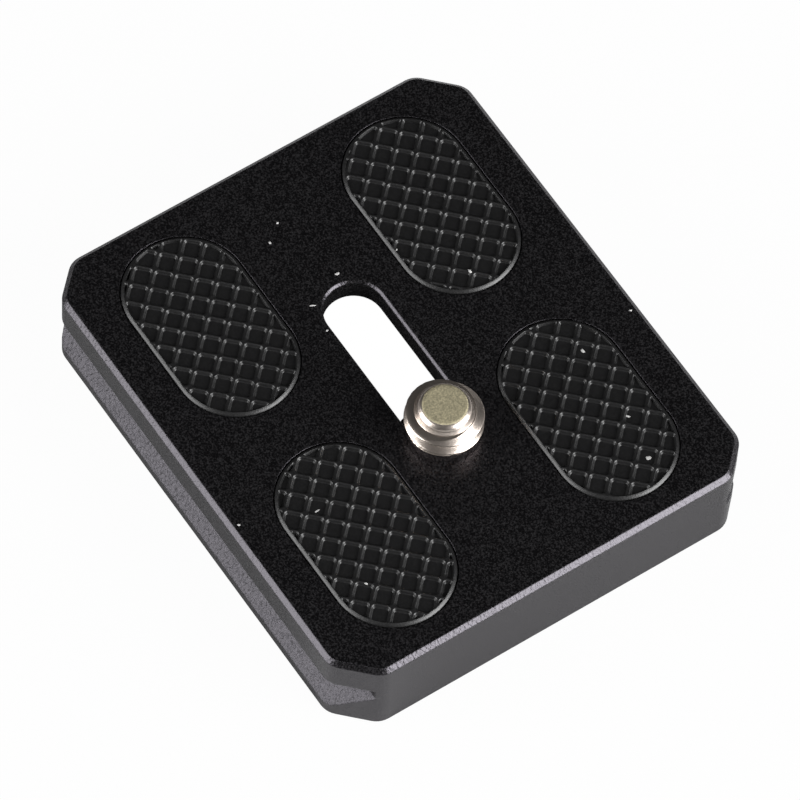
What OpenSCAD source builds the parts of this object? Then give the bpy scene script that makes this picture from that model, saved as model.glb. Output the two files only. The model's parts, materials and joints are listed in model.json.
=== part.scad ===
// Tripod adapter plate: a milled dovetail plate that carries a camera on a captive 1/4 inch screw.
// +X runs along the slot towards the screw end, +Z points up to the camera, the origin is at the
// middle of the underside. All sizes are in millimetres.

/* [Plate] */
// Length of the plate along the slot
plate_l = 44; // [40:0.5:60]
// Width over the two dovetail edges, the usual clamp width
plate_w = 38; // [36:0.5:42]
// Thickness of the plate
plate_h = 8.2; // [7:0.1:12]
// Bevel round the top edge
top_bevel = 0.4; // [0.2:0.05:1]
// Bevel round the bottom edge
bottom_bevel = 0.3; // [0.1:0.05:1]
// Legs of the four upright corner cuts: front right, front left, rear left, rear right
corner_cuts = [3.05, 2.55, 3.1, 2.7]; // [1:0.05:5]
// Rounding where a corner cut meets a side
corner_r = 1.8; // [1:0.1:2.5]

/* [Dovetail] */
// Depth of the groove along each long side
groove_d = 2.7; // [2:0.1:4]
// Height of the flat edge above the groove
upper_edge_h = 3.1; // [2:0.1:5]
// Height of the lip below the groove
lip_h = 1.25; // [0.6:0.05:2]
// Angle of the clamped face above the lip
dovetail_angle = 45; // [40:1:60]

/* [Slot and pocket] */
// Width of the screw slot
slot_w = 5; // [4.8:0.1:5.4]
// Distance between the centres of the slot's round ends
slot_cc = 12.48; // [8:0.02:20]
// Bevel round the slot's upper rim
slot_bevel = 0.2; // [0.1:0.05:0.6]
// Thickness left above the pocket in the underside
web_t = 2.1; // [1.5:0.1:3]
// Length of the pocket in the underside
pocket_l = 28.8; // [26:0.2:30]
// Width of the pocket
pocket_w = 16.4; // [15:0.2:20]
// Radius that the cutter leaves in the pocket's corners
pocket_corner = 3; // [1.5:0.5:5]
// Bevel round the pocket's mouth
pocket_bevel = 0.4; // [0.1:0.05:0.8]

/* [Rubber pads] */
// Length of a pad
pad_l = 17.5; // [12:0.1:22]
// Width of a pad
pad_w = 10.2; // [6:0.1:14]
// Distance of the pad centres from the middle, along the plate
pad_x = 11.02; // [8:0.02:16]
// Distance of the pad centres from the middle, across the plate
pad_y = 10.38; // [8:0.02:14]
// Depth of the pocket that a pad is glued into
pad_sink = 0.8; // [0.4:0.1:1.5]
// Height of a pad above the metal
pad_rise = 0.15; // [0.05:0.05:0.6]
// Width of the sloping rim round a pad
pad_rim = 0.3; // [0.1:0.05:0.6]
// Gap between a pad and its pocket
pad_gap = 0.05; // [0.02:0.01:0.2]
// Distance between neighbouring ridges of a pad's waffle
waffle_pitch = 1.645; // [1:0.005:2.5]
// Depth of the square pits between the ridges
pit_d = 0.2; // [0.1:0.01:0.5]
// Width of a ridge along its top
ridge_top = 0.2; // [0.1:0.02:0.6]
// Width of a ridge at the floor of the pits
ridge_base = 0.48; // [0.2:0.02:0.8]

/* [Camera screw] */
// Outside diameter of the 1/4 inch thread
thread_d = 6.35; // [6.2:0.01:6.4]
// Height of the screw's tip above the plate as it hangs in the slot
tip_rise = 3.4; // [2:0.1:6]
// Diameter of the flat at the tip
tip_flat_d = 3.6; // [2:0.1:5]
// Diameter of the unthreaded point
point_d = 5; // [4:0.1:5.2]
// Height of the sloping point
point_h = 0.78; // [0.4:0.02:1.5]
// Diameter of the thin neck that runs in the slot
neck_d = 4.8; // [4:0.05:4.9]
// Diameter of the head
head_d = 8; // [7:0.1:12]
// Height of the head's upper face above the plate's underside
head_top = 4.5; // [4:0.1:6]
// Height of the head's lower face above the plate's underside
head_base = 0.7; // [0.2:0.1:2]
// Width of the coin slot in the head
coin_w = 1.5; // [1:0.1:2]
// Depth of the coin slot
coin_d = 1.5; // [0.8:0.1:2]

/* [Folding ring] */
// Wire diameter of the folding ring
wire_d = 1.5; // [1:0.1:2]
// Radius of the ring's centre line
ring_r = 5.2; // [4.8:0.1:6.5]
// Height of the ring's pivot above the plate's underside
pivot_z = 2.1; // [1.5:0.1:3]
// Radius of the bend between the bow and each pivot pin
bend_r = 1.2; // [0.9:0.1:2]
// Angle that the ring hangs below level, with its bow just clear of the table
ring_droop = 11.6; // [0:0.1:30]
// Inner end of each pivot pin, from the screw's centre
pin_in = 2.4; // [1.5:0.1:3]

/* [Washer and stop screws] */
// Thickness of the plastic washer on the neck
washer_t = 0.5; // [0.3:0.1:1]
// Outside diameter of the washer
washer_d = 7.8; // [7:0.1:8]
// Distance of the stop screws from the middle
stop_x = 18.2; // [17.5:0.1:19]
// Diameter of a stop screw
stop_d = 3; // [2:0.5:4]
// Length of a stop screw
stop_l = 5; // [3:0.5:6]
// Depth of a stop screw's face below the underside
stop_inset = 0.2; // [0:0.1:1]
// Key size of the stop screws
stop_key = 1.5; // [1:0.1:2]

/* [Hidden] */
$fn = 96;
eps = 0.01;
big = 200;
slot_r = slot_w / 2;
end_x = slot_cc / 2;
pocket_top = plate_h - web_t;
edge_z = plate_h - upper_edge_h;
slope_z = lip_h + groove_d * tan(dovetail_angle);
pad_r = pad_w / 2;
pad_cc = pad_l - pad_w;
pad_floor = plate_h - pad_sink;
pad_top = plate_h + pad_rise;
pad_margin = 0.1;
waffle_r = pad_r - pad_rim - pad_margin;
waffle_n = 6;
tip_z = plate_h + tip_rise;
thread_r = thread_d / 2;
neck_r = neck_d / 2;
seat_z = plate_h - slot_bevel + 0.05;
shoulder_h = 0.25;
head_r = head_d / 2;
head_bevel = 0.3;
wire_r = wire_d / 2;
pin_gap = 0.1;
float_gap = 0.05;
running_gap = 0.1;
thread_gap = 0.05;
bore_spare = 0.6;
stop_bevel = 0.25;
corner_steps = 5;

// Corner points of the plate's outline, before rounding, two to each corner cut
function outline_points() = [
    [plate_l / 2 - corner_cuts[0], -plate_w / 2],
    [plate_l / 2, -plate_w / 2 + corner_cuts[0]],
    [plate_l / 2, plate_w / 2 - corner_cuts[1]],
    [plate_l / 2 - corner_cuts[1], plate_w / 2],
    [-plate_l / 2 + corner_cuts[2], plate_w / 2],
    [-plate_l / 2, plate_w / 2 - corner_cuts[2]],
    [-plate_l / 2, -plate_w / 2 + corner_cuts[3]],
    [-plate_l / 2 + corner_cuts[3], -plate_w / 2]
];

// Centre of the arc that rounds corner k: every corner turns by 45 degrees
function arc_centre(k) =
    let (p = outline_points()[k], a = 45 * k + 22.5 - 90, d = corner_r / cos(22.5))
    [p[0] - d * cos(a), p[1] - d * sin(a)];

// The rounded outline at height z, everywhere inset from the full outline
function rounded_outline(inset, z) = [
    for (k = [0:7])
        for (i = [0:corner_steps])
            let (c = arc_centre(k), a = 45 * k - 90 + 45 * i / corner_steps, r = corner_r - inset)
            [c[0] + r * cos(a), c[1] + r * sin(a), z]
];

// Upright prism with two round ends, its centre line along X
module stadium(cc, r, h) {
    translate([-cc / 2, 0, 0])
        cylinder(h = h, r = r);
    translate([cc / 2, 0, 0])
        cylinder(h = h, r = r);
    translate([-cc / 2, -r, 0])
        cube([cc, 2 * r, h]);
}

// The same prism with sloping sides, from radius r1 at the bottom to r2 at the top
module sloped_stadium(cc, r1, r2, h) {
    translate([-cc / 2, 0, 0])
        cylinder(h = h, r1 = r1, r2 = r2);
    translate([cc / 2, 0, 0])
        cylinder(h = h, r1 = r1, r2 = r2);
    rotate([90, 0, 90])
        linear_extrude(height = cc, center = true)
            polygon([[-r1, 0], [r1, 0], [r2, h], [-r2, h]]);
}

// The pocket's shape with four round corners, its mouth wider by flare on every side
module rounded_block(flare, h) {
    side_x = pocket_l / 2;
    side_y = pocket_w / 2;
    for (sx = [-1, 1]) {
        for (sy = [-1, 1]) {
            translate([sx * (side_x - pocket_corner), sy * (side_y - pocket_corner), 0])
                cylinder(h = h, r1 = pocket_corner + flare, r2 = pocket_corner);
        }
    }
    rotate([90, 0, 90])
        linear_extrude(height = pocket_l - 2 * pocket_corner, center = true)
            polygon([[-side_y - flare, 0], [side_y + flare, 0], [side_y, h], [-side_y, h]]);
    rotate([90, 0, 0])
        linear_extrude(height = pocket_w - 2 * pocket_corner, center = true)
            polygon([[-side_x - flare, 0], [side_x + flare, 0], [side_x, h], [-side_x, h]]);
}

// Plate with upright sides and bevels that run round every corner
module bevelled_plate() {
    n = 8 * (corner_steps + 1);
    levels = [
        rounded_outline(bottom_bevel, 0),
        rounded_outline(0, bottom_bevel),
        rounded_outline(0, plate_h - top_bevel),
        rounded_outline(top_bevel, plate_h)
    ];
    sides = [
        for (level = [0:2])
            for (i = [0:n - 1])
                let (j = (i + 1) % n, low = level * n, high = (level + 1) * n)
                [low + i, high + i, high + j, low + j]
    ];
    floor_face = [for (i = [0:n - 1]) i];
    top_face = [for (i = [n - 1:-1:0]) 3 * n + i];
    polyhedron(points = [for (level = levels) each level], faces = concat([floor_face, top_face], sides));
}

// Cutter for the groove along one long side, its lower face at the dovetail angle
module groove_cutter() {
    w = plate_w / 2;
    rotate([90, 0, 90])
        linear_extrude(height = big, center = true)
            polygon([
                [w + 1, lip_h - tan(dovetail_angle)],
                [w + 1, edge_z],
                [w - groove_d, edge_z],
                [w - groove_d, slope_z]
            ]);
}

// The sawn, grooved and bevelled blank, before the slot and pockets are milled
module blank() {
    difference() {
        bevelled_plate();
        groove_cutter();
        mirror([0, 1, 0])
            groove_cutter();
    }
}

module plate_body() {
    color([0.06, 0.06, 0.065])
    difference() {
        blank();
        translate([0, 0, pocket_top - 1])
            stadium(slot_cc, slot_r, web_t + 2);
        translate([0, 0, plate_h - slot_bevel])
            sloped_stadium(slot_cc, slot_r, slot_r + slot_bevel + eps, slot_bevel + eps);
        translate([0, 0, -1])
            rounded_block(0, pocket_top + 1);
        translate([0, 0, -eps])
            rounded_block(pocket_bevel + eps, pocket_bevel + eps);
        for (sx = [-1, 1]) {
            for (sy = [-1, 1]) {
                translate([sx * pad_x, sy * pad_y, pad_floor])
                    stadium(pad_cc, pad_r + pad_gap, pad_sink + 1);
            }
        }
        for (sx = [-1, 1]) {
            translate([sx * stop_x, 0, -1])
                cylinder(h = 1 + stop_inset + stop_l + bore_spare, r = stop_d / 2 + thread_gap);
            translate([sx * stop_x, 0, -eps])
                cylinder(h = stop_bevel + eps, r1 = stop_d / 2 + stop_bevel + eps, r2 = stop_d / 2);
        }
    }
}

// One straight ridge across a pad, standing on the floor of the pits
module waffle_ridge() {
    rotate([90, 0, 90])
        linear_extrude(height = pad_l + pad_w, center = true)
            polygon([
                [-ridge_base / 2, -0.1],
                [ridge_base / 2, -0.1],
                [ridge_base / 2, 0],
                [ridge_top / 2, pit_d],
                [ridge_top / 2, pit_d + 1],
                [-ridge_top / 2, pit_d + 1],
                [-ridge_top / 2, pit_d],
                [-ridge_base / 2, 0]
            ]);
}

// Cutter for a pad's pits: a flat field less two sets of crossed ridges
module pit_cutter(shift_a, shift_b) {
    difference() {
        stadium(pad_cc, waffle_r, pit_d + 0.2);
        for (i = [-waffle_n:waffle_n]) {
            rotate([0, 0, 135])
                translate([0, -shift_a + i * waffle_pitch, 0])
                    waffle_ridge();
            rotate([0, 0, 45])
                translate([0, -shift_b + i * waffle_pitch, 0])
                    waffle_ridge();
        }
    }
}

// A glued rubber pad: a flat moulding with a plain rim round a waffle of square pits
module rubber_pad(shift_a, shift_b) {
    difference() {
        union() {
            translate([0, 0, pad_floor])
                stadium(pad_cc, pad_r, pad_sink);
            translate([0, 0, plate_h])
                sloped_stadium(pad_cc, pad_r, pad_r - pad_rim, pad_rise);
        }
        translate([0, 0, pad_top - pit_d])
            pit_cutter(shift_a, shift_b);
    }
}

module pad_rear_left() {
    color([0.05, 0.05, 0.05])
    translate([-pad_x, pad_y, 0])
        rubber_pad(-0.53, 0.42);
}

module pad_rear_right() {
    color([0.05, 0.05, 0.05])
    translate([-pad_x, -pad_y, 0])
        rubber_pad(-0.42, -0.77);
}

module pad_front_left() {
    color([0.05, 0.05, 0.05])
    translate([pad_x, pad_y, 0])
        rubber_pad(-0.49, 0.69);
}

module pad_front_right() {
    color([0.05, 0.05, 0.05])
    translate([pad_x, -pad_y, 0])
        rubber_pad(0.01, -0.71);
}

// Turned from one bar: point, threaded part, thin neck and slotted head
module camera_screw() {
    color([0.72, 0.7, 0.67])
    translate([end_x, 0, 0])
    difference() {
        rotate_extrude()
            polygon([
                [0, head_base],
                [head_r - head_bevel, head_base],
                [head_r, head_base + head_bevel],
                [head_r, head_top - head_bevel],
                [head_r - head_bevel, head_top],
                [neck_r, head_top],
                [neck_r, seat_z],
                [thread_r, seat_z + thread_r - neck_r],
                [thread_r, tip_z - point_h - shoulder_h],
                [point_d / 2, tip_z - point_h],
                [tip_flat_d / 2, tip_z],
                [0, tip_z]
            ]);
        translate([-head_r - 1, -coin_w / 2, head_base - 1])
            cube([head_d + 2, coin_w, coin_d + 1]);
        translate([0, 0, pivot_z])
            rotate([90, 0, 0])
                cylinder(h = head_d + 2, r = wire_r + pin_gap, center = true);
    }
}

// Thin plastic washer that lies on the head round the neck
module screw_washer() {
    color([0.05, 0.05, 0.05])
    translate([end_x, 0, head_top + float_gap])
    difference() {
        cylinder(h = washer_t, r = washer_d / 2);
        translate([0, 0, -1])
            cylinder(h = washer_t + 2, r = neck_r + running_gap);
    }
}

// Bent wire bow round the head, with its two ends turned in as pivot pins
module d_ring() {
    color([0.7, 0.7, 0.7])
    translate([end_x, 0, pivot_z])
    rotate([0, ring_droop, 0]) {
        translate([bend_r, 0, 0])
            rotate([0, 0, -90])
                rotate_extrude(angle = 180, $fn = 64)
                    translate([ring_r, 0])
                        circle(r = wire_r, $fn = 24);
        for (flip = [0, 1]) {
            mirror([0, flip, 0]) {
                translate([bend_r, ring_r - bend_r, 0])
                    rotate([0, 0, 90])
                        rotate_extrude(angle = 90, $fn = 64)
                            translate([bend_r, 0])
                                circle(r = wire_r, $fn = 24);
                translate([0, ring_r - bend_r, 0])
                    rotate([90, 0, 0])
                        cylinder(h = ring_r - bend_r - pin_in, r = wire_r, $fn = 24);
            }
        }
    }
}

// Headless screw with a hexagon socket, wound in just below the underside
module stop_screw() {
    difference() {
        cylinder(h = stop_l, r = stop_d / 2);
        translate([0, 0, -1])
            cylinder(h = 1 + stop_l * 0.4, r = stop_key / 2 / cos(30), $fn = 6);
    }
}

module stop_screw_front() {
    color([0.1, 0.1, 0.1])
    translate([stop_x, 0, stop_inset])
        stop_screw();
}

module stop_screw_rear() {
    color([0.1, 0.1, 0.1])
    translate([-stop_x, 0, stop_inset])
        stop_screw();
}

plate_body();
pad_rear_left();
pad_rear_right();
pad_front_left();
pad_front_right();
camera_screw();
screw_washer();
d_ring();
stop_screw_front();
stop_screw_rear();
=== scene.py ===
import json
import math

import bmesh
import bpy
import numpy as np
from mathutils import Matrix, Vector


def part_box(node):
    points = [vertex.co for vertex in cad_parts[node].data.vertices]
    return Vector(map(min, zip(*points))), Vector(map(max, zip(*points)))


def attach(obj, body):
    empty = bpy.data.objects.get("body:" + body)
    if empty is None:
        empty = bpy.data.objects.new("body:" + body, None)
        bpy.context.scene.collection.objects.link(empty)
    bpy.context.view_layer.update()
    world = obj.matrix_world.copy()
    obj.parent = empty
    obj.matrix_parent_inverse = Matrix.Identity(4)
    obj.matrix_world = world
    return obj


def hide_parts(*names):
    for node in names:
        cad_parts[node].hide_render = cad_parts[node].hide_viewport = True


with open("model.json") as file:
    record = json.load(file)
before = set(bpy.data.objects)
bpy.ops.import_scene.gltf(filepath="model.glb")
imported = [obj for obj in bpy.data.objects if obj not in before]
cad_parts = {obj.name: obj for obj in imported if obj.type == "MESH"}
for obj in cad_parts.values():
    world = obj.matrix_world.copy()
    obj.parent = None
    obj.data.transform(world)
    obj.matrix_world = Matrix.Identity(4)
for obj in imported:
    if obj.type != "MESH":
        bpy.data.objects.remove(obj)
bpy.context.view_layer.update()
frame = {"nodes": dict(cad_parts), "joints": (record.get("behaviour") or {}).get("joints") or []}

mm = 0.001
scene = bpy.context.scene
scene.view_settings.view_transform = "Standard"

# The camera: a long lens above the front right corner of the plate, tilted a little, so that the slot
# runs from upper left to lower right. Its place was fitted to the plate's edges in the photograph.
plate_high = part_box("plate_body")[1]
camera_azimuth, camera_elevation, camera_roll = (math.radians(a) for a in (52.90, 59.89, 4.09))
camera_distance = 649.87 * mm
camera_offset = (0.079 * mm, -2.5234 * mm)
camera_lens, film_width = 375.03, 36.0


def look_axes(azimuth, elevation, roll):
    """Right, up and back of a camera: back points from the object to the camera, right is level, up is
    square to both, and the roll turns right and up about back."""
    back = Vector((
        math.sin(azimuth) * math.cos(elevation),
        -math.cos(azimuth) * math.cos(elevation),
        math.sin(elevation),
    ))
    level = Vector((math.cos(azimuth), math.sin(azimuth), 0.0))
    upright = back.cross(level)
    right = level * math.cos(roll) + upright * math.sin(roll)
    up = upright * math.cos(roll) - level * math.sin(roll)
    return right, up, back


def add_camera():
    """The camera stands back along its own axis from the middle of the plate's top face, moved sideways
    by camera_offset, so that the plate sits in the frame as it does in the photograph."""
    right, up, back = look_axes(camera_azimuth, camera_elevation, camera_roll)
    place = Vector((0, 0, plate_high.z)) + right * camera_offset[0] + up * camera_offset[1]
    place = place + back * camera_distance
    lens = bpy.data.cameras.new("camera")
    lens.sensor_width = film_width
    lens.lens = camera_lens
    lens.clip_start = 0.01
    lens.clip_end = 50
    camera = bpy.data.objects.new("camera", lens)
    camera.matrix_world = Matrix.LocRotScale(place, Matrix((right, up, back)).transposed(), None)
    scene.collection.objects.link(camera)
    scene.camera = camera


add_camera()


# The studio: two square softboxes, one on each side of the camera, a dim ceiling and a white table. The
# dark gap between the boxes is what keeps the top face and the near corner of the plate black.
box_distance, box_width, box_height = 0.60, 0.46, 0.46
left_box_radiance, right_box_radiance = 5.2, 9.4
left_box_direction, right_box_direction = (-106.0, 23.0), (31.0, 23.0)
ceiling_level, horizon_level, horizon_height = 0.04, 0.35, 0.12
fade_end, fade_start = -0.75, -0.5
table_reach = 3.0
table_gap = ((21.7 * mm, 15.8 * mm), (18.7 * mm, 18.7 * mm))
table_grey, table_white = 0.72, 0.97


def add_softbox(name, direction, radiance):
    """A rectangular lamp that faces the plate from the given azimuth (from +X) and elevation. Its power
    is radiance times pi times area, which gives every point of it that radiance."""
    azimuth, elevation = (math.radians(a) for a in direction)
    towards = Vector((
        math.cos(azimuth) * math.cos(elevation),
        math.sin(azimuth) * math.cos(elevation),
        math.sin(elevation),
    ))
    lamp = bpy.data.lights.new(name, "AREA")
    lamp.shape = "RECTANGLE"
    lamp.size, lamp.size_y = box_width, box_height
    lamp.energy = radiance * math.pi * box_width * box_height
    holder = bpy.data.objects.new(name, lamp)
    turn = towards.to_track_quat("Z", "Y")
    holder.matrix_world = Matrix.LocRotScale(towards * box_distance, turn, None)
    scene.collection.objects.link(holder)


def add_node(tree, kind, inputs=None, **settings):
    """A node with its settings, and its sockets set to a value or joined to another node's output."""
    node = tree.nodes.new(kind)
    for name, value in settings.items():
        setattr(node, name, value)
    for name, value in (inputs or {}).items():
        if isinstance(value, bpy.types.NodeSocket):
            tree.links.new(value, node.inputs[name])
        else:
            node.inputs[name].default_value = value
    return node


def add_world():
    """White where the camera looks past the table. Everything else sees a dim ceiling that brightens to
    the white backdrop near the horizon, goes on below it, and fades out straight down."""
    world = bpy.data.worlds.new("studio")
    world.use_nodes = True
    tree = world.node_tree
    tree.nodes.clear()
    path = add_node(tree, "ShaderNodeLightPath")
    direction = add_node(tree, "ShaderNodeTexCoord")
    axes = add_node(tree, "ShaderNodeSeparateXYZ", {"Vector": direction.outputs["Generated"]})
    level = add_node(tree, "ShaderNodeMapRange", {
        "Value": axes.outputs["Z"], "From Min": 0.0, "From Max": horizon_height,
        "To Min": horizon_level, "To Max": ceiling_level}, interpolation_type="SMOOTHSTEP")
    below = add_node(tree, "ShaderNodeMapRange", {
        "Value": axes.outputs["Z"], "From Min": fade_end, "From Max": fade_start})
    least = add_node(tree, "ShaderNodeMath", {0: level.outputs["Result"], 1: below.outputs["Result"]},
                     operation="MINIMUM")
    dim = add_node(tree, "ShaderNodeBackground", {"Color": (1, 1, 1, 1), "Strength": least.outputs[0]})
    white = add_node(tree, "ShaderNodeBackground", {"Color": (1, 1, 1, 1), "Strength": 1.0})
    mixed = add_node(tree, "ShaderNodeMixShader", {
        "Fac": path.outputs["Is Camera Ray"], 1: dim.outputs[0], 2: white.outputs[0]})
    add_node(tree, "ShaderNodeOutputWorld", {"Surface": mixed.outputs[0]})
    scene.world = world


def table_material():
    """White card. The camera sees it almost evenly white with a trace of the shadow, and from below it
    is clear, so that the underside of the plate can be looked at."""
    material = bpy.data.materials.new("white_table")
    material.use_nodes = True
    tree = material.node_tree
    tree.nodes.clear()
    path = add_node(tree, "ShaderNodeLightPath")
    side = add_node(tree, "ShaderNodeNewGeometry")
    share = add_node(tree, "ShaderNodeMath", {0: path.outputs["Is Camera Ray"], 1: table_white},
                     operation="MULTIPLY")
    card = add_node(tree, "ShaderNodeBsdfDiffuse", {"Color": (table_grey, table_grey, table_grey, 1)})
    glow = add_node(tree, "ShaderNodeEmission", {"Color": (1, 1, 1, 1), "Strength": 1.0})
    clear = add_node(tree, "ShaderNodeBsdfTransparent")
    lit = add_node(tree, "ShaderNodeMixShader", {
        "Fac": share.outputs[0], 1: card.outputs[0], 2: glow.outputs[0]})
    sided = add_node(tree, "ShaderNodeMixShader", {
        "Fac": side.outputs["Backfacing"], 1: lit.outputs[0], 2: clear.outputs[0]})
    add_node(tree, "ShaderNodeOutputMaterial", {"Surface": sided.outputs[0]})
    return material


def add_table():
    """A level surface in the plane of the plate's underside, with a gap just under the plate, so that a
    little light reaches the pocket and the underside. The plate hides the gap. It is a band between two
    rings of corners: table_gap in all four quarters, and the same ring scaled up to table_reach."""
    inner = [(x * sx, y * sy, 0) for sx, sy in ((1, 1), (-1, 1), (-1, -1), (1, -1))
             for x, y in (table_gap if sx * sy > 0 else table_gap[::-1])]
    across = table_gap[0][0]
    outer = [(x * table_reach / across, y * table_reach / across, 0) for x, y, _ in inner]
    count = len(inner)
    faces = [(i, count + i, count + (i + 1) % count, (i + 1) % count) for i in range(count)]
    mesh = bpy.data.meshes.new("table")
    mesh.from_pydata(inner + outer, [], faces)
    mesh.materials.append(table_material())
    table = bpy.data.objects.new("table", mesh)
    scene.collection.objects.link(table)


add_softbox("left_softbox", left_box_direction, left_box_radiance)
add_softbox("right_softbox", right_box_direction, right_box_radiance)
add_world()
add_table()


# The plate: one milled block of aluminium, blasted and anodised black. Its face has a fine even grain,
# and the clamped dovetail faces are coarser, because the cutter and the clamp leave them rough.
groove_face_level, groove_face_band, groove_top = 20.25 * mm, 0.06 * mm, 5.0 * mm
bevel_height, bevel_share, bevel_wear = 0.4 * mm, 0.48, 0.45
edge_round = 0.15 * mm
fine_scale, coarse_scale = 7500.0, 3600.0
fine_relief, coarse_relief = 0.012 * mm, 0.11 * mm
speckle_start, speckle_end = 0.44, 0.72
face_dark, face_pale = (0.0005, 0.0005, 0.0005), (0.0223, 0.0217, 0.0226)
worn_dark, worn_pale = (0.006, 0.006, 0.0063), (0.045, 0.045, 0.048)
face_roughness, worn_roughness = (0.24, 0.36), (0.36, 0.52)


def new_group(name, inputs, outputs):
    """A shader node group with named sockets, each given as name, type and default."""
    group = bpy.data.node_groups.new(name, "ShaderNodeTree")
    for in_out, sockets in (("INPUT", inputs), ("OUTPUT", outputs)):
        for label, kind, default in sockets:
            socket = group.interface.new_socket(label, in_out=in_out, socket_type=kind)
            if default is not None:
                socket.default_value = default
    return group, group.nodes.new("NodeGroupInput"), group.nodes.new("NodeGroupOutput")


def grain_group():
    """Fine grain of a blasted or moulded surface. Height is a soft noise with small pits cut into it,
    and Tone is a second, independent noise for colour and gloss. Both run from about 0 to 1."""
    group, source, sink = new_group(
        "fine_grain",
        [("Vector", "NodeSocketVector", None), ("Scale", "NodeSocketFloat", 9000.0),
         ("Pits", "NodeSocketFloat", 0.3)],
        [("Height", "NodeSocketFloat", None), ("Tone", "NodeSocketFloat", None)])
    soft = add_node(group, "ShaderNodeTexNoise", {
        "Vector": source.outputs["Vector"], "Scale": source.outputs["Scale"],
        "Detail": 2.0, "Roughness": 0.6})
    pit = add_node(group, "ShaderNodeTexVoronoi", {
        "Vector": source.outputs["Vector"], "Scale": source.outputs["Scale"]})
    height = add_node(group, "ShaderNodeMix", {
        "Factor": source.outputs["Pits"], "A": soft.outputs["Fac"], "B": pit.outputs["Distance"]})
    shifted = add_node(group, "ShaderNodeVectorMath", {
        0: source.outputs["Vector"], 1: (0.37, 0.11, 0.23)}, operation="ADD")
    tone = add_node(group, "ShaderNodeTexNoise", {
        "Vector": shifted.outputs["Vector"], "Scale": source.outputs["Scale"],
        "Detail": 1.0, "Roughness": 0.5})
    group.links.new(height.outputs["Result"], sink.inputs["Height"])
    group.links.new(tone.outputs["Fac"], sink.inputs["Tone"])
    return group


fine_grain = grain_group()


def new_material(name, constants):
    """A material with one Principled shader, and its fixed values set on the shader's own sockets."""
    material = bpy.data.materials.new(name)
    material.use_nodes = True
    tree = material.node_tree
    shader = tree.nodes["Principled BSDF"]
    for label, value in constants.items():
        shader.inputs[label].default_value = value
    place = add_node(tree, "ShaderNodeTexCoord")
    return material, tree, shader, place.outputs["Object"]


def place_grain(tree, place, scale, pits):
    """The fine grain group in a material, with its own scale per metre and share of pits."""
    grain = add_node(tree, "ShaderNodeGroup", node_tree=fine_grain)
    tree.links.new(place, grain.inputs["Vector"])
    grain.inputs["Scale"].default_value = scale
    grain.inputs["Pits"].default_value = pits
    return grain.outputs["Height"], grain.outputs["Tone"]


def blend_colour(tree, share, first, second):
    """first where share is 0, second where it is 1."""
    mixed = add_node(tree, "ShaderNodeMix", {"Factor": share}, data_type="RGBA")
    for index, colour in ((6, first), (7, second)):
        if isinstance(colour, bpy.types.NodeSocket):
            tree.links.new(colour, mixed.inputs[index])
        else:
            mixed.inputs[index].default_value = (*colour, 1)
    return mixed.outputs[2]


def remap(tree, value, low, high):
    """value from 0 to 1 becomes low to high."""
    spread = add_node(tree, "ShaderNodeMapRange", {"Value": value, "To Min": low, "To Max": high})
    return spread.outputs[0]


def calculate(tree, operation, *values):
    """One Math node."""
    return add_node(tree, "ShaderNodeMath", dict(enumerate(values)), operation=operation).outputs[0]


def anodised_material():
    """Black anodised aluminium. The rough places are the dovetail faces, where |y| + z is constant
    because the face runs at 45 degrees below groove_top, and the bevels just under the top face. Edges
    are a little rounded."""
    material, tree, shader, place = new_material("black_anodised", {
        "IOR": 1.66, "Metallic": 0.0, "Specular Tint": (0.95, 0.90, 1.0, 1.0)})
    height, tone = place_grain(tree, place, fine_scale, 0.25)
    coarse, coarse_tone = place_grain(tree, place, coarse_scale, 0.35)
    axes = add_node(tree, "ShaderNodeSeparateXYZ", {"Vector": place})
    across = calculate(tree, "ABSOLUTE", axes.outputs["Y"])
    level = calculate(tree, "ADD", across, axes.outputs["Z"])
    off = calculate(tree, "ABSOLUTE", calculate(tree, "SUBTRACT", level, groove_face_level))
    low_enough = calculate(tree, "LESS_THAN", axes.outputs["Z"], groove_top)
    on_face = calculate(tree, "LESS_THAN", off, groove_face_band)
    groove = calculate(tree, "MULTIPLY", on_face, low_enough)
    below = calculate(tree, "SUBTRACT", plate_high.z - bevel_height / 2, axes.outputs["Z"])
    bevel = calculate(tree, "LESS_THAN", calculate(tree, "ABSOLUTE", below), bevel_share * bevel_height)
    rough_place = calculate(tree, "MAXIMUM", groove, calculate(tree, "MULTIPLY", bevel, bevel_wear))
    spread = add_node(tree, "ShaderNodeMapRange", {
        "Value": tone, "From Min": speckle_start, "From Max": speckle_end})
    speckle = blend_colour(tree, spread.outputs["Result"], face_dark, face_pale)
    worn = blend_colour(tree, coarse_tone, worn_dark, worn_pale)
    tree.links.new(blend_colour(tree, groove, speckle, worn), shader.inputs["Base Color"])
    even = remap(tree, tone, *face_roughness)
    rougher = remap(tree, coarse_tone, *worn_roughness)
    gloss = add_node(tree, "ShaderNodeMix", {"Factor": groove, "A": even, "B": rougher})
    tree.links.new(gloss.outputs["Result"], shader.inputs["Roughness"])
    rounded = add_node(tree, "ShaderNodeBevel", {"Radius": edge_round}, samples=6)
    fine = add_node(tree, "ShaderNodeBump", {
        "Height": height, "Strength": 1.0, "Distance": fine_relief, "Normal": rounded.outputs["Normal"]})
    depth = calculate(tree, "MULTIPLY", coarse, rough_place)
    rough = add_node(tree, "ShaderNodeBump", {
        "Height": depth, "Strength": 1.0, "Distance": coarse_relief, "Normal": fine.outputs["Normal"]})
    tree.links.new(rough.outputs["Normal"], shader.inputs["Normal"])
    return material


merge_distance = 1e-7


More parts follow.
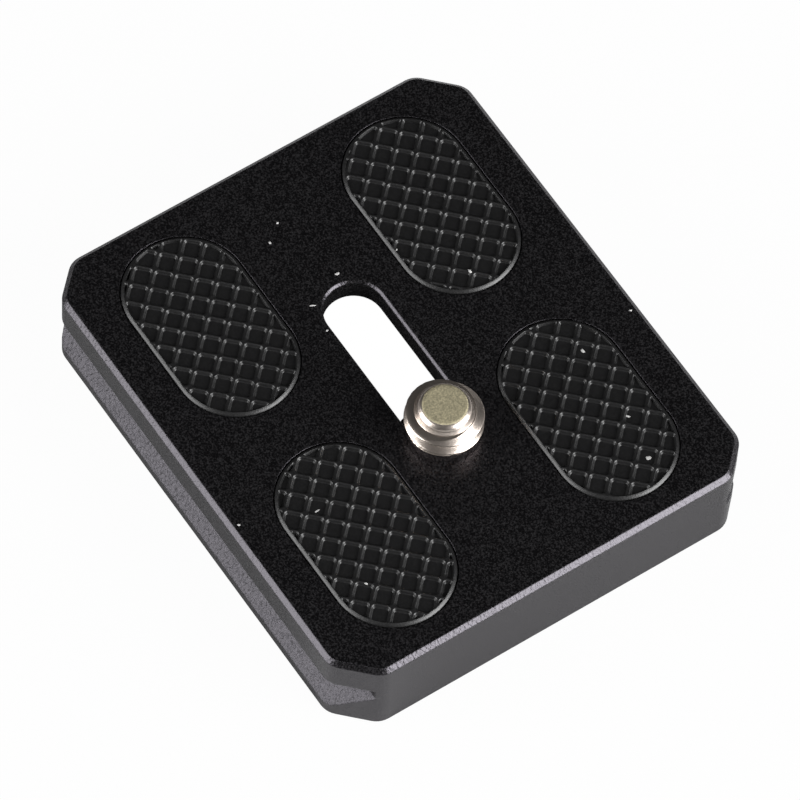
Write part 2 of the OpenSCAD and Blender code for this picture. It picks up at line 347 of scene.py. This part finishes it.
def finish_piece(name, work, material, body, smooth_angle):
    """Makes a piece of a bmesh: doubled points are merged, faces are turned outwards, stored normals are
    dropped, edges sharper than smooth_angle stay sharp, and the piece rides on its body."""
    bmesh.ops.remove_doubles(work, verts=work.verts, dist=merge_distance)
    bmesh.ops.dissolve_degenerate(work, dist=merge_distance, edges=work.edges)
    bmesh.ops.recalc_face_normals(work, faces=work.faces)
    mesh = bpy.data.meshes.new(name)
    work.to_mesh(mesh)
    work.free()
    if "custom_normal" in mesh.attributes:
        mesh.attributes.remove(mesh.attributes["custom_normal"])
    mesh.shade_smooth()
    mesh.set_sharp_from_angle(angle=math.radians(smooth_angle))
    mesh.materials.append(material)
    piece = bpy.data.objects.new(name, mesh)
    scene.collection.objects.link(piece)
    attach(piece, body)
    return piece


def add_plate():
    """The CAD node's own shape as one merged mesh, so that light runs evenly over its flat faces."""
    work = bmesh.new()
    work.from_mesh(frame["nodes"]["plate_body"].data)
    piece = finish_piece("milled_plate", work, anodised_material(), "plate", 20.0)
    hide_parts("plate_body")


add_plate()


# The pads: four ovals of black rubber, moulded with a plain round rim and a waffle of square pits
# between raised ridges, and glued into shallow pockets. The waffle sits differently on each pad, as on
# pads cut from one long strip.
pad_rim_width, pad_rim_drop = 0.31 * mm, 0.29 * mm
waffle_pitch, pit_half, pit_corner = 1.645 * mm, 0.69 * mm, 0.26 * mm
pit_depth, pit_slope_run = 0.25 * mm, 0.20 * mm
waffle_end, waffle_fade = 0.33 * mm, 0.09 * mm
pad_step, rim_steps, floor_share = 0.06 * mm, 10, 0.6
waffle_shifts = {
    "pad_rear_left": (-0.53 * mm, 0.42 * mm),
    "pad_rear_right": (-0.42 * mm, -0.77 * mm),
    "pad_front_left": (-0.49 * mm, 0.69 * mm),
    "pad_front_right": (0.01 * mm, -0.71 * mm),
}


def grid_faces(rows, columns):
    """Quads between neighbouring rows of a grid whose last column joins its first."""
    start = np.arange(rows - 1)[:, None] * columns
    here = np.arange(columns)[None, :]
    beside = (here + 1) % columns
    below = start + columns
    return np.stack([start + here, start + beside, below + beside, below + here], -1).reshape(-1, 4)


def add_grid(work, points):
    """Adds to a bmesh the surface of a grid of points whose rows are closed loops."""
    shape = bpy.data.meshes.new("grid")
    shape.from_pydata(points.reshape(-1, 3).tolist(), [], grid_faces(*points.shape[:2]).tolist())
    work.from_mesh(shape)
    bpy.data.meshes.remove(shape)


def ease(share):
    """0 up to 0 and 1 from 1 on, with a smooth S between: 3 times the square less twice the cube."""
    held = np.clip(share, 0, 1)
    return held * held * (3 - 2 * held)


def from_pit_middle(value, shift, pitch):
    """Distance from value to the nearest pit middle, half way between two ridges."""
    return np.abs((value - shift) % pitch - pitch / 2)


def pit_share(x, y, shifts):
    """1 on the floor of a pit and 0 on a ridge. The pit's edge is a square with round corners, and the
    wall eases from one to the other across pit_slope_run, by the distance to that edge."""
    flat = pit_half - pit_corner
    beside = from_pit_middle((x + y) / math.sqrt(2), shifts[0], waffle_pitch) - flat
    above = from_pit_middle((x - y) / math.sqrt(2), shifts[1], waffle_pitch) - flat
    outside = np.hypot(np.maximum(beside, 0), np.maximum(above, 0))
    distance = outside + np.minimum(np.maximum(beside, above), 0) - pit_corner
    return ease(0.5 - distance / pit_slope_run)


def pad_points(length, width, top, bottom, centre, shifts):
    """Grid of a pad. A point goes out from the centre line by a share of the half width, in the
    direction in which the outline faces there. Its height is the top, less a slope at the rim that is
    one third quarter ellipse and two thirds straight, less the pits, whose middles lie a whole number
    of pitches apart along (x + y) and (x - y) over root 2."""
    radius, straight = width / 2, length - width
    arc = math.pi * radius
    ends = np.cumsum([0, straight, arc, straight, arc])
    along = np.linspace(0, ends[-1], int(ends[-1] / pad_step), endpoint=False)
    spine = np.interp(along, ends, np.array([-1, 1, 1, -1, -1]) * straight / 2)
    facing = np.interp(along, ends, np.radians([-90, -90, 90, 90, 270]))
    level = radius - pad_rim_width
    inner = np.linspace(0, level, int(level / pad_step))
    share = np.linspace(0, 1, rim_steps)[1:]
    turn = share * math.pi / 2
    out = np.concatenate([inner, radius - pad_rim_width * (1 - (np.sin(turn) + 2 * share) / 3)])
    drop = np.concatenate([np.zeros(len(inner)), pad_rim_drop * (1 - np.cos(turn) + 2 * share) / 3])
    x = spine[None, :] + out[:, None] * np.cos(facing)
    y = out[:, None] * np.sin(facing)
    inside = ease((radius - waffle_end - out) / waffle_fade)[:, None]
    z = top - drop[:, None] - pit_depth * pit_share(x, y, shifts) * inside
    upper = np.stack([x, y, z], -1)
    lower = [np.stack([spine + r * np.cos(facing), r * np.sin(facing), np.full_like(spine, bottom)], -1)
             for r in (radius, radius * floor_share, 0)]
    return np.concatenate([upper, np.array(lower)]) + np.array(centre)


def grained_material(name, constants, grain, colours, roughness, relief):
    """One finish all over. grain is its scale per metre and share of pits. Its tone carries the colour
    and the roughness from the first to the second of each pair, and its height stands up by relief."""
    material, tree, shader, place = new_material(name, constants)
    height, tone = place_grain(tree, place, *grain)
    tree.links.new(blend_colour(tree, tone, *colours), shader.inputs["Base Color"])
    tree.links.new(remap(tree, tone, *roughness), shader.inputs["Roughness"])
    bump = add_node(tree, "ShaderNodeBump", {"Height": height, "Strength": 1.0, "Distance": relief})
    tree.links.new(bump.outputs["Normal"], shader.inputs["Normal"])
    return material


def add_pads():
    """Each pad has the size and place of its CAD node. The rubber is matt and nearly black, with a fine
    moulded grain and a little dust in it."""
    rubber = grained_material(
        "pad_rubber", {"IOR": 1.66, "Metallic": 0.0}, grain=(7000.0, 0.35),
        colours=((0.003, 0.003, 0.0031), (0.011, 0.0107, 0.0113)), roughness=(0.33, 0.50),
        relief=0.012 * mm)
    for name, shifts in waffle_shifts.items():
        low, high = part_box(name)
        centre = ((low.x + high.x) / 2, (low.y + high.y) / 2, 0)
        points = pad_points(high.x - low.x, high.y - low.y, high.z, low.z, centre, shifts)
        work = bmesh.new()
        add_grid(work, points)
        piece = finish_piece("waffle_" + name, work, rubber, "plate", 60.0)
        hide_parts(name)


add_pads()


# The camera screw: turned from one steel bar and nickel plated. It has a flat tip, a short rounded
# point, a rolled 1/4 inch thread, a thin neck that runs in the slot, and a head with a coin slot.
screw_axis = next(Vector(joint["pos_m"]) for joint in frame["joints"] if joint["name"] == "screw_turn")
screw_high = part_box("camera_screw")[1]
thread_radius, root_radius, thread_pitch, thread_start = 3.175 * mm, 2.46 * mm, 1.27 * mm, 0.35
flank_spare, crest_blend, root_blend = 0.12 * mm, 0.10 * mm, 0.06 * mm
tip_radius, point_radius, point_height = 1.66 * mm, 2.40 * mm, 0.80 * mm
point_run, first_tilt, last_tilt, point_steps = 0.82 * mm, 12, 74, 21
shoulder_round = 0.26 * mm
neck_radius, neck_top, neck_drop = 2.4 * mm, 7.95 * mm, 0.2 * mm
joint_height = 6.0 * mm
screw_columns, flat_steps, shoulder_steps, thread_step = 224, 12, 18, 0.02 * mm


def soft_least(a, b, blend):
    """The lesser of a and b, rounded where they cross: their mean less half the root of their squared
    difference plus blend squared."""
    return (a + b - np.sqrt((a - b) ** 2 + blend ** 2)) / 2


def soft_most(a, b, blend):
    """The greater of a and b, rounded in the same way."""
    return (a + b + np.sqrt((a - b) ** 2 + blend ** 2)) / 2


def screw_points():
    """Grid of the screw from the middle of its tip down to the neck. The point is an arc of short equal
    steps, each tilted further down than the last. A thread turn at angle a and height z lies at phase
    z / pitch + a / one turn. The radius falls from the crest by 60 degree flanks, is held between root
    and crest, and never passes the shoulder under the point or the slope down to the neck."""
    tip = screw_high.z
    angle = np.linspace(0, 2 * math.pi, screw_columns, endpoint=False)
    flat = np.linspace(0, tip_radius, flat_steps)
    tilt = np.radians(np.linspace(first_tilt, last_tilt, point_steps + 1))
    stride = point_run * np.ones(point_steps) / point_steps
    curve_r = tip_radius + np.cumsum(stride * np.cos((tilt[1:] + tilt[:-1]) / 2))
    curve_z = tip - np.cumsum(stride * np.sin((tilt[1:] + tilt[:-1]) / 2))
    shoulder = tip - point_height
    plain_r = np.concatenate([flat, curve_r, [point_radius]])
    plain_z = np.concatenate([np.full(flat_steps, tip), curve_z, [shoulder]])
    quarter = np.linspace(0, math.pi / 2, shoulder_steps)[1:]
    rise = shoulder - shoulder_round * (1 - np.cos(quarter))
    threaded = np.arange(rise[-1], neck_top, -thread_step)[1:]
    body_z = np.concatenate([rise, threaded, [neck_top]])[:, None]
    depth = np.clip((shoulder - body_z) / shoulder_round, 0, 1)
    upper_limit = point_radius + (thread_radius - point_radius) * np.sqrt(1 - (1 - depth) ** 2)
    lower_limit = neck_radius + (body_z - neck_top)
    phase = (body_z / thread_pitch + angle[None, :] / (2 * math.pi) + thread_start) % 1
    from_crest = np.abs(phase - 0.5) * thread_pitch
    flank = thread_radius + flank_spare - from_crest * math.sqrt(3)
    turn_r = soft_most(soft_least(flank, thread_radius, crest_blend), root_radius, root_blend)
    body_r = np.minimum(np.minimum(turn_r, upper_limit), np.maximum(lower_limit, neck_radius))
    neck_r = np.array([neck_radius, neck_radius, 0])
    neck_z = np.array([neck_top - neck_drop, joint_height, joint_height])
    ring = np.ones(screw_columns)
    radius = np.concatenate([plain_r[:, None] * ring, body_r, neck_r[:, None] * ring])
    height = np.concatenate([plain_z[:, None] * ring, body_z * ring, neck_z[:, None] * ring])
    x = screw_axis.x + radius * np.cos(angle)
    y = screw_axis.y + radius * np.sin(angle)
    return np.stack([x, y, height], -1)


dull_depth = 0.05 * mm
smooth_relief = 0.10


def plated_material():
    """Bright nickel on turned steel. The flat of the tip, which is all that stands above dull_depth
    below the top, is dull and pitted, and the point, thread and head are smooth."""
    material, tree, shader, place = new_material("nickel_plate", {"Metallic": 1.0})
    axis = add_node(tree, "ShaderNodeVectorMath", {0: place, 1: tuple(screw_axis)},
                    operation="SUBTRACT")
    height, tone = place_grain(tree, axis.outputs["Vector"], 7000.0, 0.5)
    axes = add_node(tree, "ShaderNodeSeparateXYZ", {"Vector": axis.outputs["Vector"]})
    dull_level = screw_high.z - screw_axis.z - dull_depth
    high = calculate(tree, "GREATER_THAN", axes.outputs["Z"], dull_level)
    bright = blend_colour(tree, tone, (0.70, 0.61, 0.54), (0.84, 0.75, 0.67))
    dull_colour = blend_colour(tree, tone, (0.37, 0.34, 0.235), (0.94, 0.86, 0.61))
    tree.links.new(blend_colour(tree, high, bright, dull_colour), shader.inputs["Base Color"])
    smooth = remap(tree, tone, 0.27, 0.35)
    dull = remap(tree, tone, 0.58, 0.74)
    rough = add_node(tree, "ShaderNodeMix", {"Factor": high, "A": smooth, "B": dull})
    tree.links.new(rough.outputs["Result"], shader.inputs["Roughness"])
    depth = calculate(tree, "MULTIPLY", height, remap(tree, high, smooth_relief, 1.0))
    bump = add_node(tree, "ShaderNodeBump", {"Height": depth, "Strength": 1.0, "Distance": fine_relief})
    tree.links.new(bump.outputs["Normal"], shader.inputs["Normal"])
    return material


def add_screw():
    """The upper part is the grid, and the head is the CAD node's own, cut off level in the neck and
    closed there, so that the two share a flat joint inside the neck."""
    work = bmesh.new()
    add_grid(work, screw_points())
    head = bmesh.new()
    head.from_mesh(frame["nodes"]["camera_screw"].data)
    bmesh.ops.remove_doubles(head, verts=head.verts, dist=merge_distance)
    everything = head.verts[:] + head.edges[:] + head.faces[:]
    cut = bmesh.ops.bisect_plane(head, geom=everything, plane_co=(0, 0, joint_height),
                                 plane_no=(0, 0, 1), clear_outer=True)
    rim = [edge for edge in cut["geom_cut"] if isinstance(edge, bmesh.types.BMEdge)]
    bmesh.ops.edgeloop_fill(head, edges=rim)
    shape = bpy.data.meshes.new("head")
    head.to_mesh(shape)
    head.free()
    work.from_mesh(shape)
    bpy.data.meshes.remove(shape)
    piece = finish_piece("threaded_screw", work, plated_material(), "screw", 35.0)
    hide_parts("camera_screw")


add_screw()


# The small parts below the slot: a black nylon washer on the neck, a folding ring of bright wire with
# which the screw is turned by hand, and two black socket screws that stop the plate in its clamp.
black_nylon = grained_material(
    "black_nylon", {"IOR": 1.53, "Metallic": 0.0}, grain=(3000.0, 0.1),
    colours=((0.012, 0.012, 0.012), (0.022, 0.022, 0.022)), roughness=(0.35, 0.5), relief=0.008 * mm)
drawn_wire = grained_material(
    "drawn_wire", {"Metallic": 1.0}, grain=(5000.0, 0.2),
    colours=((0.52, 0.52, 0.53), (0.66, 0.66, 0.66)), roughness=(0.2, 0.34), relief=0.004 * mm)
black_oxide = grained_material(
    "black_oxide", {"Metallic": 0.6, "IOR": 1.6}, grain=(4000.0, 0.2),
    colours=((0.02, 0.02, 0.022), (0.05, 0.05, 0.05)), roughness=(0.28, 0.42), relief=0.006 * mm)


def dress_node(name, material):
    """Puts a finish on a CAD node's own mesh."""
    mesh = frame["nodes"][name].data
    mesh.materials.clear()
    mesh.materials.append(material)


dress_node("screw_washer", black_nylon)
dress_node("d_ring", drawn_wire)
dress_node("stop_screw_front", black_oxide)
dress_node("stop_screw_rear", black_oxide)


# Dust: pale flecks of lint that lie on the plate and the pads in the photograph, each only some
# hundredths of a millimetre thick. A row gives x, y, half length and half width in mm, and the
# direction in degrees.
flecks = [
    (-9.7, 0.6, 0.20, 0.11, 80), (-8.3, -2.6, 0.26, 0.06, 65), (-5.8, -2.9, 0.12, 0.07, 80),
    (-14.9, -2.3, 0.14, 0.11, 10), (-16.1, -0.8, 0.11, 0.08, 120), (-2.6, -7.4, 0.10, 0.08, 0),
    (5.4, 18.2, 0.13, 0.08, 60), (5.1, -18.2, 0.12, 0.09, 20), (6.4, 13.0, 0.20, 0.14, 0),
    (13.1, 12.6, 0.32, 0.11, 35), (17.1, 11.9, 0.22, 0.18, 70), (-4.25, 9.5, 0.18, 0.13, 0),
    (-9.1, 5.8, 0.12, 0.08, 140), (7.25, -12.4, 0.20, 0.07, 95), (14.7, -12.8, 0.14, 0.09, 40),
]
fleck_thickness = 0.05 * mm
fleck_columns, fleck_rows, fleck_uneven, fleck_seed = 10, 6, 0.25, 7


def height_at(x, y):
    """Height of the surface that a fleck lies on: the plate's top face, or a pad's ridge or pit."""
    for name, shifts in waffle_shifts.items():
        low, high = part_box(name)
        if low.x < x < high.x and low.y < y < high.y:
            middle = (low + high) / 2
            return high.z - pit_depth * float(pit_share(x - middle.x, y - middle.y, shifts))
    return plate_high.z


def fleck_points(x, y, half_length, half_width, direction, chance):
    """Grid of an uneven flat ellipsoid from its top to its bottom. Each column is pulled in or out by up
    to the share fleck_uneven of its radius."""
    around = np.linspace(0, 2 * math.pi, fleck_columns, endpoint=False)
    down = np.linspace(0, math.pi, fleck_rows)[:, None]
    uneven = 1 + chance.uniform(-fleck_uneven, fleck_uneven, fleck_columns)
    long_way = half_length * np.sin(down) * np.cos(around) * uneven
    short_way = half_width * np.sin(down) * np.sin(around) * uneven
    turned = math.radians(direction)
    return np.stack([
        x + long_way * math.cos(turned) - short_way * math.sin(turned),
        y + long_way * math.sin(turned) + short_way * math.cos(turned),
        height_at(x, y) + fleck_thickness * (0.5 + np.cos(down)) * np.ones(fleck_columns)], -1)


def add_dust():
    """All flecks in one piece, of pale dull lint, with their uneven outlines drawn from a fixed seed."""
    lint = grained_material(
        "pale_lint", {"Metallic": 0.0, "IOR": 1.4}, grain=(12000.0, 0.2),
        colours=((0.34, 0.34, 0.34), (0.86, 0.85, 0.83)), roughness=(0.75, 0.95), relief=0.01 * mm)
    chance = np.random.default_rng(fleck_seed)
    work = bmesh.new()
    for x, y, half_length, half_width, direction in flecks:
        points = fleck_points(x * mm, y * mm, half_length * mm, half_width * mm, direction, chance)
        add_grid(work, points)
    finish_piece("dust_flecks", work, lint, "plate", 80.0)


add_dust()
